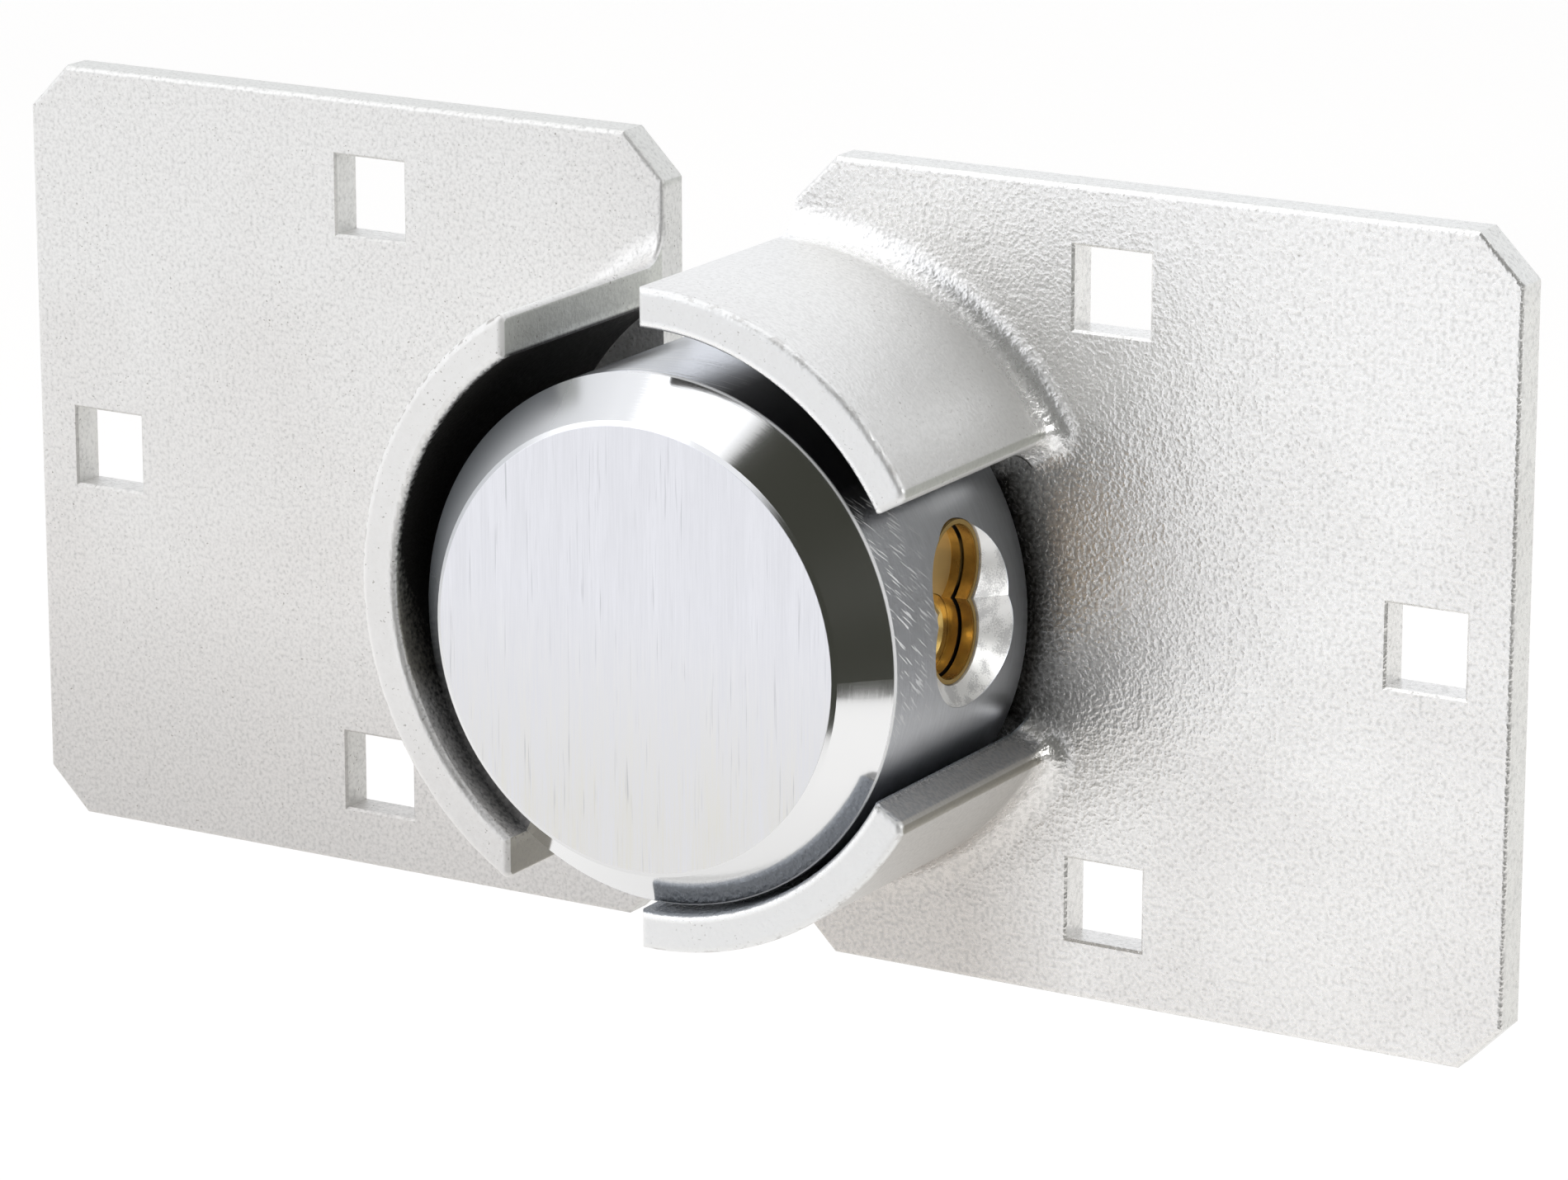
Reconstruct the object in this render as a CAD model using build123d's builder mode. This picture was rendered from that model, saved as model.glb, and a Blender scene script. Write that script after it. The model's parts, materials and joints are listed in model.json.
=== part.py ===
from build123d import *
import os
from math import cos, pi, sin

# Truck door lock: a round hidden-shackle padlock closed on a two-plate forged hasp.
# Millimetres. X runs from the left plate to the right one, Y into the doors, Z up.
# The origin is on the guard's axis, at the door face that the plates are bolted against.

# Plates
plate_height = 114.3
plate_width = 109.2
plate_thick = 5.0
plate_clip = 6.5
plate_gap = 21.2
right_edge_x = -1.0
left_edge_x = right_edge_x - plate_gap
left_plate_x = left_edge_x - plate_width / 2
right_plate_x = right_edge_x + plate_width / 2
plate_edge_round = 0.8
bolt_hole_break = 0.35

# Square holes for carriage bolts
bolt_hole = 11.6
bolt_hole_near = 60.0
bolt_hole_far = 12.6
bolt_hole_rise = 43.0

# Guard walls round the lock
guard_inner = 40.4
guard_outer = 45.9
guard_height = 41.0
guard_end_angle = 29.0
guard_end_round = 1.6
guard_front_round = 1.0
guard_root = 4.2
guard_end_reach = 80.0

# Lugs that the shackle passes through
lug_hole_radius = 7.8
lug_radius = 11.0
lug_thick = 6.0
lug_spacing = 7.6
lug_middle_x = (left_edge_x + right_edge_x) / 2 + 0.1
tongue_gap = 1.0
shackle_y = -21.5

# Round body, hung from the shackle, so a little below the guard's axis
shackle_radius = 4.75
hang_gap = 0.05
body_z = -(lug_hole_radius - shackle_radius - hang_gap)
body_radius = 36.9
body_back_y = -5.8
body_front_y = -49.2
body_back_chamfer = 1.0
front_chamfer_deep = 6.4
front_face_radius = 30.7
front_rim_wide = 0.7
front_rim_deep = 0.35
recess_width = 18.0
recess_height = 29.0
recess_bottom_y = -33.5
recess_corner = 4.0
recess_x = lug_middle_x
socket_end_x = -26.6

# Two-lobed cylinder: the plug turns in the lower lobe, the pins stand in the upper one
lower_radius = 6.4
upper_radius = 6.9
lobe_pitch = 9.4
slide_gap = 0.15
bore_end_x = 0.5
mouth_x = 33.9
mouth_taper = 54.5
mouth_reach = 5.0
upper_z = body_z + lobe_pitch

# Along the cylinder, from its stepped front inwards
shell_front_x = 33.6
step_x = 31.6
face_x = 29.8
shell_back_x = 11.8
rim_wall = 0.6
step_wall = 0.9
seam_wide = 0.35
seam_wall = 0.3

# Plug
plug_radius = 4.95
plug_gap = 0.05
flange_radius = 5.42
flange_deep = 1.2
flange_seat = 0.06
plug_face_x = 29.6
plug_back_x = 11.7
dish_radius = 4.3
dish_floor_radius = 1.9
dish_deep = 1.1
keyway_width = 1.3
keyway_low = -3.6
keyway_high = 2.6
keyway_end_x = 13.3
ward_width = 0.5
ward_height = 1.0
ward_low = -1.7
spigot_width = 3.0
spigot_height = 2.2
spigot_length = 1.0

# Pin stacks, drawn with every stack parted at the plug's edge
pin_count = 5
pin_pitch = 2.9
first_pin_x = 26.2
pin_radius = 1.2
chamber_radius = 1.25
key_pin_top = 4.8
key_pin_tips = [1.6, 0.2, 1.1, -0.2, 0.8]
key_pin_point = 0.7
key_pin_floor = -0.8
driver_low = 5.1
driver_length = 4.0
cover_floor = 14.8
cover_thick = 1.0
cover_width = 4.4
cover_overhang = 1.6
spring_wire = 0.16
spring_coil = 0.95
spring_turns = 3.5
coil_steps = 6

# Shackle, its carrier and the screws that join the carrier to the shell
shackle_tip_x = -26.0
shackle_tip_chamfer = 1.2
shackle_spigot = 3.0
shackle_spigot_end_x = 5.2
carrier_back_x = 0.8
screw_y = 3.4
screw_z = 6.4
screw_radius = 1.25
screw_end_x = 15.8
screw_head_radius = 2.2
screw_head_end_x = 2.8
screw_socket_radius = 1.15
screw_socket_deep = 1.2

# Cam on the plug's inner end, and the dog that its crank draws in
cam_back_x = 10.0
cam_radius = 5.6
cam_pocket_radius = 5.75
cam_pocket_x = 9.45
crank_radius = 0.8
crank_throw = 2.6
crank_end_x = 6.8
cam_screw_radius = 0.8
cam_screw_head = 1.5
cam_screw_end_x = 13.2
cam_screw_slot = 0.4
dog_back_x = 6.3
dog_front_x = 9.3
dog_half_width = 4.5
dog_slot_half_width = 3.55
dog_slot_height = 2.8
dog_top = 0.2
dog_nose_radius = 6.3
dog_gap = 0.15
dog_travel = 2.6
dog_groove_radius = 9.2
dog_groove_gap = 0.3
dog_spring_top = 8.2
dog_spring_pocket = 1.5
dog_spring_coil = 1.1
dog_spring_wire = 0.2
dog_spring_turns = 4.5

# Stop screw: its nose runs in a slot of the carrier and the shell
shackle_travel = 23.0
stop_x = 26.4
stop_radius = 2.0
stop_nose_radius = 1.4
stop_nose_y = -16.3
stop_thread_end_y = -13.9
stop_socket_radius = 1.1
stop_socket_deep = 2.2
stop_slot_gap = 0.15
stop_slot_floor_y = -16.6

os.makedirs("parts", exist_ok=True)

# Planes square to the shackle's axis are placed by their X
along_x = Plane.YZ
plug_axis = Axis((0, shackle_y, body_z), (1, 0, 0))


def lobes(lower, upper):
    """Outline of the two lobes on a plane square to X."""
    with Locations((shackle_y, body_z)):
        Circle(lower)
    with Locations((shackle_y, upper_z)):
        Circle(upper)


def plate(hasp, middle_x, inward):
    """One plate with its square holes; inward is the X direction of the other plate."""
    outer_x = middle_x - inward * plate_width / 2
    near_x = outer_x + inward * bolt_hole_near
    far_x = outer_x + inward * bolt_hole_far
    with BuildSketch(Plane.XZ) as outline:
        with Locations((middle_x, 0)):
            Rectangle(plate_width, plate_height)
        chamfer(outline.vertices(), plate_clip)
    extrude(outline.sketch, amount=plate_thick)
    rim = hasp.faces().sort_by(Axis.Y)[0].edges().sort_by(Axis.X, reverse=inward > 0)
    fillet(rim[1:], plate_edge_round)
    with BuildSketch(Plane.XZ) as holes:
        with Locations((near_x, bolt_hole_rise), (near_x, -bolt_hole_rise), (far_x, 0)):
            Rectangle(bolt_hole, bolt_hole)
    extrude(holes.sketch, amount=plate_thick, mode=Mode.SUBTRACT)
    hole_rims = hasp.faces().sort_by(Axis.Y)[0].inner_wires()
    chamfer([edge for wire in hole_rims for edge in wire.edges()], bolt_hole_break)


def edges_on_front(hasp):
    """The edges that lie in the plate's front face."""
    return hasp.edges().filter_by_position(Axis.Y, -plate_thick - 0.01, -plate_thick + 0.01)


def guard_foot(hasp):
    """The edges where the guard's outer side and its ends stand on the plate."""
    places = [(edge, Vector(edge.center().X, 0, edge.center().Z).length) for edge in edges_on_front(hasp)]
    return [edge for edge, distance in places if guard_inner + 1 < distance < guard_outer + 0.1]


def lug(low_x, tongue_low_x, tongue_high_x):
    """The tongue in the gap between the plates, and the lug that stands on it."""
    with BuildSketch(Plane.XZ) as tongue:
        with Locations(((tongue_low_x + tongue_high_x) / 2, 0)):
            Rectangle(tongue_high_x - tongue_low_x, 2 * lug_radius)
    extrude(tongue.sketch, amount=plate_thick)
    with BuildSketch(along_x.offset(low_x)) as standing:
        with Locations((shackle_y / 2, 0)):
            Rectangle(-shackle_y, 2 * lug_radius)
        with Locations((shackle_y, 0)):
            Circle(lug_radius)
            Circle(lug_hole_radius, mode=Mode.SUBTRACT)
    extrude(standing.sketch, amount=lug_thick)


# Left hasp: plate, C-shaped guard wall cut flush with the plate's edge, tongue and lug
with BuildPart() as left_hasp:
    plate(left_hasp, left_plate_x, 1)
    with BuildSketch(Plane.XZ.offset(plate_thick / 2)):
        Circle(guard_outer)
        Circle(guard_inner, mode=Mode.SUBTRACT)
        with Locations((left_edge_x, 0)):
            Rectangle(2 * guard_outer, 2 * guard_outer, align=(Align.MAX, Align.CENTER), mode=Mode.INTERSECT)
    extrude(amount=guard_height + plate_thick / 2)
    fillet(guard_foot(left_hasp), guard_root)
    by_gap = edges_on_front(left_hasp).filter_by_position(Axis.X, left_edge_x - 0.01, left_edge_x + 0.01)
    fillet([edge for edge in by_gap if abs(edge.center().Z) > guard_outer], plate_edge_round)
    fillet(left_hasp.edges().group_by(Axis.Y)[0], guard_front_round)
    lug(lug_middle_x - lug_spacing / 2 - lug_thick / 2, left_edge_x, lug_middle_x - tongue_gap / 2)

# Right hasp: plate, two guard walls that leave the key side open, tongue and lug
with BuildPart() as right_hasp:
    plate(right_hasp, right_plate_x, -1)
    with BuildSketch(Plane.XZ.offset(plate_thick / 2)) as right_walls:
        Circle(guard_outer)
        Circle(guard_inner, mode=Mode.SUBTRACT)
        with Locations((right_edge_x, 0)):
            Rectangle(2 * guard_outer, 2 * guard_outer, align=(Align.MIN, Align.CENTER), mode=Mode.INTERSECT)
        with BuildLine():
            upper_end = PolarLine((0, 0), guard_end_reach, guard_end_angle)
            lower_end = PolarLine((0, 0), guard_end_reach, -guard_end_angle)
            Line(upper_end @ 1, lower_end @ 1)
        make_face(mode=Mode.SUBTRACT)
        end_corners = right_walls.vertices().filter_by_position(Axis.X, guard_inner * 0.9, guard_outer)
        fillet(end_corners, guard_end_round)
    extrude(amount=guard_height + plate_thick / 2)
    fillet(guard_foot(right_hasp), guard_root)
    fillet(right_hasp.edges().group_by(Axis.Y)[0], guard_front_round)
    lug(lug_middle_x + lug_spacing / 2 - lug_thick / 2, lug_middle_x + tongue_gap / 2, right_edge_x)

# Lock body: one turned puck, with the lugs' recess, the two-lobed bore and the key mouth
with BuildPart() as lock_body:
    with BuildSketch(Plane.XY.offset(body_z)):
        with BuildLine():
            rim_radius = front_face_radius + front_rim_wide
            Polyline(
                (0, body_back_y),
                (body_radius - body_back_chamfer, body_back_y),
                (body_radius, body_back_y - body_back_chamfer),
                (body_radius, body_front_y + front_chamfer_deep),
                (rim_radius, body_front_y + front_rim_deep),
                (front_face_radius, body_front_y),
                (0, body_front_y),
                close=True,
            )
        make_face()
    revolve(axis=Axis((0, 0, body_z), (0, 1, 0)))
    with BuildSketch(Plane.XZ.offset(-body_back_y)):
        with Locations((recess_x, body_z)):
            RectangleRounded(recess_width, recess_height, recess_corner)
    extrude(amount=body_back_y - recess_bottom_y, mode=Mode.SUBTRACT)
    with BuildSketch(along_x.offset(bore_end_x)):
        lobes(lower_radius + slide_gap, upper_radius + slide_gap)
    extrude(amount=body_radius, mode=Mode.SUBTRACT)
    with BuildSketch(along_x.offset(mouth_x)):
        with Locations((shackle_y, body_z)):
            Circle(lower_radius + slide_gap)
    extrude(amount=mouth_reach, taper=-mouth_taper, mode=Mode.SUBTRACT)
    with BuildSketch(along_x.offset(mouth_x)):
        with Locations((shackle_y, upper_z)):
            Circle(upper_radius + slide_gap)
    extrude(amount=mouth_reach, taper=-mouth_taper, mode=Mode.SUBTRACT)
    with BuildSketch(along_x.offset(socket_end_x)):
        with Locations((shackle_y, body_z)):
            Circle(shackle_radius + slide_gap)
    extrude(amount=bore_end_x - socket_end_x, mode=Mode.SUBTRACT)
    with BuildSketch(along_x.offset(dog_back_x - dog_groove_gap)):
        with Locations((shackle_y, body_z)):
            Circle(dog_groove_radius)
    extrude(amount=dog_front_x - dog_back_x + 2 * dog_groove_gap, mode=Mode.SUBTRACT)
    with BuildSketch(Plane.XZ.offset(-body_back_y)):
        with Locations((stop_x, upper_z)):
            Circle(stop_radius)
    extrude(amount=body_back_y - shackle_y, mode=Mode.SUBTRACT)

# Stop screw in the body's back
with BuildPart() as stop_screw:
    with BuildSketch(Plane.XZ.offset(-body_back_y)):
        with Locations((stop_x, upper_z)):
            Circle(stop_radius)
    extrude(amount=body_back_y - stop_thread_end_y)
    with BuildSketch(Plane.XZ.offset(-stop_thread_end_y)):
        with Locations((stop_x, upper_z)):
            Circle(stop_nose_radius)
    extrude(amount=stop_thread_end_y - stop_nose_y)
    with BuildSketch(Plane.XZ.offset(-body_back_y)):
        with Locations((stop_x, upper_z)):
            RegularPolygon(stop_socket_radius, 6)
    extrude(amount=stop_socket_deep, mode=Mode.SUBTRACT)


def cut_stop_slot():
    """The slot that the stop screw's nose runs in."""
    nose_room = stop_nose_radius + stop_slot_gap
    with BuildSketch(Plane.XZ.offset(-shackle_y - upper_radius)) as slot:
        with Locations((stop_x - shackle_travel / 2, upper_z)):
            SlotCenterToCenter(shackle_travel, 2 * nose_room)
    extrude(slot.sketch, amount=shackle_y + upper_radius - stop_slot_floor_y, mode=Mode.SUBTRACT)


# Cylinder shell: two lobes, a stepped hollow front, the plug's bore and five pin chambers
pin_places = [first_pin_x - index * pin_pitch for index in range(pin_count)]
with BuildPart() as cylinder_shell:
    with BuildSketch(along_x.offset(shell_back_x)):
        lobes(lower_radius, upper_radius)
    extrude(amount=shell_front_x - shell_back_x)
    with BuildSketch(along_x.offset(step_x)):
        lobes(lower_radius - rim_wall, upper_radius - rim_wall)
    extrude(amount=shell_front_x - step_x, mode=Mode.SUBTRACT)
    with BuildSketch(along_x.offset(face_x)):
        lobes(lower_radius - step_wall, upper_radius - step_wall)
    extrude(amount=step_x - face_x, mode=Mode.SUBTRACT)
    with BuildSketch(along_x.offset(step_x - seam_wide)):
        lobes(lower_radius - seam_wall, upper_radius - seam_wall)
    extrude(amount=seam_wide, mode=Mode.SUBTRACT)
    with BuildSketch(along_x.offset(shell_back_x)):
        with Locations((shackle_y, body_z)):
            Circle(plug_radius + plug_gap)
    extrude(amount=face_x - shell_back_x, mode=Mode.SUBTRACT)
    with BuildSketch(along_x.offset(face_x - flange_deep)):
        with Locations((shackle_y, body_z)):
            Circle(flange_radius + flange_seat)
    extrude(amount=flange_deep, mode=Mode.SUBTRACT)
    with BuildSketch(Plane.XY.offset(body_z)):
        with Locations(*[(place, shackle_y) for place in pin_places]):
            Circle(chamber_radius)
    extrude(amount=cover_floor + cover_thick, mode=Mode.SUBTRACT)
    with BuildSketch(Plane.XY.offset(body_z + cover_floor)):
        with Locations((pin_places[pin_count // 2], shackle_y)):
            Rectangle((pin_count - 1) * pin_pitch + 2 * cover_overhang, cover_width)
    extrude(amount=lobe_pitch, mode=Mode.SUBTRACT)
    with BuildSketch(along_x.offset(shell_back_x)):
        with Locations((shackle_y - screw_y, body_z + screw_z), (shackle_y + screw_y, body_z + screw_z)):
            Circle(screw_radius)
    extrude(amount=screw_end_x - shell_back_x, mode=Mode.SUBTRACT)
    cut_stop_slot()

# Strip that closes the chambers
with BuildPart() as chamber_cover:
    with BuildSketch(Plane.XY.offset(body_z + cover_floor)):
        with Locations((pin_places[pin_count // 2], shackle_y)):
            Rectangle((pin_count - 1) * pin_pitch + 2 * cover_overhang, cover_width)
    extrude(amount=cover_thick)
    chamfer(chamber_cover.edges().group_by(Axis.Z)[-1], cover_thick / 4)

# Plug: flange, dished face, keyway, pin bores and the square end that drives the cam
with BuildPart() as cylinder_plug:
    with BuildSketch(along_x.offset(plug_back_x)):
        with Locations((shackle_y, body_z)):
            Circle(plug_radius)
    extrude(amount=plug_face_x - plug_back_x)
    with BuildSketch(along_x.offset(face_x - flange_deep + flange_seat)):
        with Locations((shackle_y, body_z)):
            Circle(flange_radius)
    extrude(amount=plug_face_x - face_x + flange_deep - flange_seat)
    with BuildSketch(along_x.offset(plug_face_x)) as dish_mouth:
        with Locations((shackle_y, body_z)):
            Circle(dish_radius)
    with BuildSketch(along_x.offset(plug_face_x - dish_deep)) as dish_floor:
        with Locations((shackle_y, body_z)):
            Circle(dish_floor_radius)
    loft([dish_floor.sketch, dish_mouth.sketch], mode=Mode.SUBTRACT)
    with BuildSketch(along_x.offset(keyway_end_x)):
        with Locations((shackle_y, body_z + keyway_low)):
            Rectangle(keyway_width, keyway_high - keyway_low, align=(Align.CENTER, Align.MIN))
        with Locations((shackle_y, body_z + ward_low)):
            Rectangle(keyway_width / 2 + ward_width, ward_height, align=(Align.MIN, Align.MIN))
    extrude(amount=plug_face_x - keyway_end_x, mode=Mode.SUBTRACT)
    with BuildSketch(Plane.XY.offset(body_z + key_pin_floor)):
        with Locations(*[(place, shackle_y) for place in pin_places]):
            Circle(chamber_radius)
    extrude(amount=plug_radius - key_pin_floor, mode=Mode.SUBTRACT)
    with BuildSketch(along_x.offset(plug_back_x - spigot_length)):
        with Locations((shackle_y, body_z)):
            Rectangle(spigot_width, spigot_height)
    extrude(amount=spigot_length)
    with BuildSketch(along_x.offset(plug_back_x - spigot_length)):
        with Locations((shackle_y, body_z)):
            Circle(cam_screw_radius)
    extrude(amount=cam_screw_end_x - plug_back_x + spigot_length, mode=Mode.SUBTRACT)

# Cam disc with its crank pin
with BuildPart() as plug_cam:
    with BuildSketch(along_x.offset(cam_back_x)):
        with Locations((shackle_y, body_z)):
            Circle(cam_radius)
    extrude(amount=plug_back_x - cam_back_x)
    with BuildSketch(along_x.offset(crank_end_x)):
        with Locations((shackle_y, body_z - crank_throw)):
            Circle(crank_radius)
    extrude(amount=cam_back_x - crank_end_x)
    with BuildSketch(along_x.offset(plug_back_x - spigot_length)):
        with Locations((shackle_y, body_z)):
            Rectangle(spigot_width, spigot_height)
    extrude(amount=spigot_length, mode=Mode.SUBTRACT)
    with Locations(Location((cam_back_x, shackle_y, body_z), (0, -90, 0))):
        CounterSinkHole(cam_screw_radius, cam_screw_head, plug_back_x - cam_back_x, 90)

# Screw that holds the cam and keeps the plug in the shell
with BuildPart() as cam_screw:
    with BuildSketch(Plane.XY.offset(body_z)):
        with BuildLine():
            head_end = cam_back_x + cam_screw_head - cam_screw_radius
            Polyline(
                (cam_back_x, shackle_y),
                (cam_back_x, shackle_y + cam_screw_head),
                (head_end, shackle_y + cam_screw_radius),
                (cam_screw_end_x, shackle_y + cam_screw_radius),
                (cam_screw_end_x, shackle_y),
                close=True,
            )
        make_face()
    revolve(axis=plug_axis)
    with BuildSketch(along_x.offset(cam_back_x)):
        with Locations((shackle_y, body_z)):
            Rectangle(2 * cam_screw_head, cam_screw_slot)
    extrude(amount=cam_screw_slot, mode=Mode.SUBTRACT)

# Carrier behind the cylinder: shackle seat, dog guide, dog spring pocket and cam pocket
with BuildPart() as shackle_carrier:
    with BuildSketch(along_x.offset(carrier_back_x)):
        lobes(lower_radius, upper_radius)
    extrude(amount=shell_back_x - carrier_back_x)
    with BuildSketch(along_x.offset(carrier_back_x)):
        with Locations((shackle_y, body_z)):
            Circle(shackle_spigot)
    extrude(amount=shackle_spigot_end_x - carrier_back_x, mode=Mode.SUBTRACT)
    with BuildSketch(along_x.offset(cam_pocket_x)):
        with Locations((shackle_y, body_z)):
            Circle(cam_pocket_radius)
    extrude(amount=shell_back_x - cam_pocket_x, mode=Mode.SUBTRACT)
    with BuildSketch(along_x.offset(dog_back_x - dog_gap)):
        with Locations((shackle_y, body_z + dog_top + dog_travel + dog_gap)):
            Rectangle(
                2 * (dog_half_width + dog_gap),
                2 * lower_radius,
                align=(Align.CENTER, Align.MAX),
            )
    extrude(amount=cam_pocket_x - dog_back_x + dog_gap, mode=Mode.SUBTRACT)
    with BuildSketch(Plane.XY.offset(body_z)):
        with Locations(((dog_back_x + dog_front_x) / 2, shackle_y)):
            Circle(dog_spring_pocket)
    extrude(amount=dog_spring_top, mode=Mode.SUBTRACT)
    with BuildSketch(along_x.offset(carrier_back_x)):
        with Locations((shackle_y - screw_y, body_z + screw_z), (shackle_y + screw_y, body_z + screw_z)):
            Circle(screw_radius)
    extrude(amount=shell_back_x - carrier_back_x, mode=Mode.SUBTRACT)
    with BuildSketch(along_x.offset(carrier_back_x)):
        with Locations((shackle_y - screw_y, body_z + screw_z), (shackle_y + screw_y, body_z + screw_z)):
            Circle(screw_head_radius)
    extrude(amount=screw_head_end_x - carrier_back_x, mode=Mode.SUBTRACT)
    cut_stop_slot()

# Two socket screws through the carrier into the shell
with BuildPart() as carrier_screws:
    for side in (-1, 1):
        with BuildSketch(along_x.offset(carrier_back_x)):
            with Locations((shackle_y + side * screw_y, body_z + screw_z)):
                Circle(screw_head_radius)
        extrude(amount=screw_head_end_x - carrier_back_x)
        with BuildSketch(along_x.offset(screw_head_end_x)):
            with Locations((shackle_y + side * screw_y, body_z + screw_z)):
                Circle(screw_radius)
        extrude(amount=screw_end_x - screw_head_end_x)
        with BuildSketch(along_x.offset(carrier_back_x)):
            with Locations((shackle_y + side * screw_y, body_z + screw_z)):
                RegularPolygon(screw_socket_radius, 6)
        extrude(amount=screw_socket_deep, mode=Mode.SUBTRACT)

# Shackle: a straight pin with a spigot pressed into the carrier
with BuildPart() as shackle_pin:
    with BuildSketch(Plane.XY.offset(body_z)):
        with BuildLine():
            Polyline(
                (shackle_tip_x, shackle_y),
                (shackle_tip_x, shackle_y + shackle_radius - shackle_tip_chamfer),
                (shackle_tip_x + shackle_tip_chamfer, shackle_y + shackle_radius),
                (carrier_back_x, shackle_y + shackle_radius),
                (carrier_back_x, shackle_y + shackle_spigot),
                (shackle_spigot_end_x, shackle_y + shackle_spigot),
                (shackle_spigot_end_x, shackle_y),
                close=True,
            )
        make_face()
    revolve(axis=plug_axis)

# Locking dog: a yoke round the crank pin, its nose flush with the carrier
with BuildPart() as locking_dog:
    with BuildSketch(along_x.offset(dog_back_x)):
        with Locations((shackle_y, body_z)):
            Circle(dog_nose_radius)
        with Locations((shackle_y, body_z + dog_top)):
            Rectangle(
                2 * dog_half_width,
                2 * lower_radius,
                align=(Align.CENTER, Align.MAX),
                mode=Mode.INTERSECT,
            )
        with Locations((shackle_y, body_z - crank_throw)):
            Rectangle(2 * dog_slot_half_width, dog_slot_height, mode=Mode.SUBTRACT)
    extrude(amount=dog_front_x - dog_back_x)


def coil_spring(x, low_z, high_z, coil_radius, wire_radius, turns):
    """An upright coil spring between two seats."""
    first_z = low_z + wire_radius
    rise = high_z - low_z - 2 * wire_radius
    steps = round(turns * coil_steps)
    points = []
    for step in range(steps + 1):
        angle = 2 * pi * step / coil_steps
        z = first_z + rise * step / steps
        points.append((x + coil_radius * cos(angle), shackle_y + coil_radius * sin(angle), z))
    with BuildLine() as coil:
        Polyline(*points)
    with BuildSketch(Plane(origin=coil.line @ 0, z_dir=coil.line % 0)) as wire:
        RegularPolygon(wire_radius, 4)
    sweep(wire.sketch, path=coil.line, transition=Transition.RIGHT)


# Dog spring, between the dog and the roof of its pocket
with BuildPart() as dog_spring:
    coil_spring(
        (dog_back_x + dog_front_x) / 2,
        body_z + dog_top,
        body_z + dog_spring_top,
        dog_spring_coil,
        dog_spring_wire,
        dog_spring_turns,
    )

named_pieces = {
    "left_hasp": left_hasp,
    "right_hasp": right_hasp,
    "lock_body": lock_body,
    "stop_screw": stop_screw,
    "cylinder_shell": cylinder_shell,
    "chamber_cover": chamber_cover,
    "cylinder_plug": cylinder_plug,
    "plug_cam": plug_cam,
    "cam_screw": cam_screw,
    "shackle_carrier": shackle_carrier,
    "carrier_screws": carrier_screws,
    "shackle_pin": shackle_pin,
    "locking_dog": locking_dog,
    "dog_spring": dog_spring,
}

# Five pin stacks: a pointed key pin in the plug, a driver above it and its spring
for number, (place, tip) in enumerate(zip(pin_places, key_pin_tips), start=1):
    with BuildPart() as key_pin:
        with BuildSketch(Plane.XY.offset(body_z + tip + key_pin_point)):
            with Locations((place, shackle_y)):
                Circle(pin_radius)
        extrude(amount=key_pin_top - tip - key_pin_point)
        with BuildSketch(Plane.XY.offset(body_z + tip)) as tip_flat:
            with Locations((place, shackle_y)):
                Circle(pin_radius / 2)
        with BuildSketch(Plane.XY.offset(body_z + tip + key_pin_point)) as tip_wide:
            with Locations((place, shackle_y)):
                Circle(pin_radius)
        loft([tip_flat.sketch, tip_wide.sketch])
    named_pieces[f"key_pin_{number}"] = key_pin
    with BuildPart() as driver_pin:
        with BuildSketch(Plane.XY.offset(body_z + driver_low)):
            with Locations((place, shackle_y)):
                Circle(pin_radius)
        extrude(amount=driver_length)
    named_pieces[f"driver_pin_{number}"] = driver_pin
    with BuildPart() as pin_spring:
        coil_spring(
            place,
            body_z + driver_low + driver_length,
            body_z + cover_floor,
            spring_coil,
            spring_wire,
            spring_turns,
        )
    named_pieces[f"pin_spring_{number}"] = pin_spring

for name, piece in named_pieces.items():
    piece.part.label = name
    export_step(piece.part, f"parts/{name}.step")
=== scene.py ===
import json
import math

import bpy
from bpy.props import FloatProperty, FloatVectorProperty, IntProperty, PointerProperty
from bpy.types import Operator, Panel, PropertyGroup
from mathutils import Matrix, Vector


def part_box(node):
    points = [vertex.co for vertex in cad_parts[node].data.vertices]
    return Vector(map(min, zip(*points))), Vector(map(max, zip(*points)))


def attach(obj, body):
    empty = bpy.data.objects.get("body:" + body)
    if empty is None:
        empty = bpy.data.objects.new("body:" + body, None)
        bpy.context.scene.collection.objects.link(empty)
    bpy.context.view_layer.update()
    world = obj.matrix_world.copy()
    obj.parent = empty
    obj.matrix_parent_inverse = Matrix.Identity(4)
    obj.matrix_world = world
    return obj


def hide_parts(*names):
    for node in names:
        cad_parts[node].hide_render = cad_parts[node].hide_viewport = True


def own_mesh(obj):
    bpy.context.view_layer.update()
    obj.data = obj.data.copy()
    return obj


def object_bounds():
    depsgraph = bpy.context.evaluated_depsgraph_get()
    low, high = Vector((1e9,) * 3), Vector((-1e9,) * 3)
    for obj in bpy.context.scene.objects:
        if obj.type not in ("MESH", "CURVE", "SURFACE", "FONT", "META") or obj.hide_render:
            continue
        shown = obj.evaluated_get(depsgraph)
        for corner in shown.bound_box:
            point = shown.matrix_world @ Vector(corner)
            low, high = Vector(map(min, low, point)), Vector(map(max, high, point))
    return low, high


bl_info = {
    "name": "Truck Door Lock Finisher",
    "version": (1, 0, 0),
    "blender": (4, 5, 0),
    "location": "3D View > Sidebar > Lock",
    "description": "Finishes a round hidden-shackle lock on its forged hasp and sets its studio",
    "category": "Object",
}

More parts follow.
